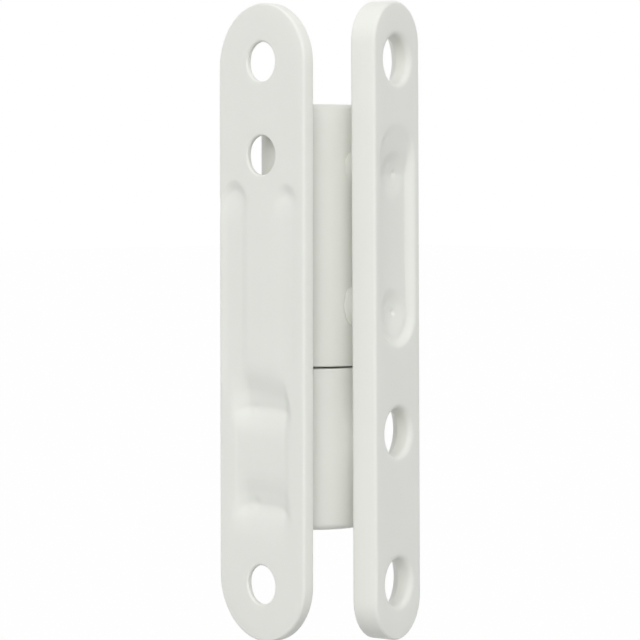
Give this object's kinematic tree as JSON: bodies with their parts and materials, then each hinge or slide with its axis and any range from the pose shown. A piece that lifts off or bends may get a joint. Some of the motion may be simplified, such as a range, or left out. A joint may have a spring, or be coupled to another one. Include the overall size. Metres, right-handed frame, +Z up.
{
  "type": "renovation hinge",
  "caption": "Lift-off door hinge with two round-ended leaves welded to a split round barrel, so that the door half lifts off a fixed pin and swings on it.",
  "frame": {"origin": "midway between the frame leaf's two outer screw holes, on its wood face", "axes": "+Z up along the hinge axis and the leaves, -Y out of the frame leaf's wood face, +X across the frame leaf towards the door leaf"},
  "size_m": [0.023, 0.0189, 0.0883],
  "materials": {
    "paint": "semi-gloss off-white powder coat",
    "pin_steel": "ground, lightly greased",
    "ball_steel": "polished bearing steel"
  },
  "bodies": {
    "frame_half": {"frame_leaf": "paint", "lower_barrel": "paint", "hinge_pin": "pin_steel", "upper_frame_weld": "paint", "lower_frame_weld": "paint"},
    "thrust_ball": {"thrust_ball": "ball_steel"},
    "door_half": {"door_leaf": "paint", "upper_barrel": "paint", "upper_door_weld": "paint", "lower_door_weld": "paint"}
  },
  "joints": [
    {"name": "lift_off", "type": "slide", "parent": "frame_half", "child": "thrust_ball", "axis": [0, 0, 1], "range_m": [0, 0.04]},
    {"name": "swing", "type": "hinge", "parent": "thrust_ball", "child": "door_half", "pos_m": [0, 0.0105, 0], "axis": [0, 0, 1], "range_deg": [-26, 180]}
  ]
}
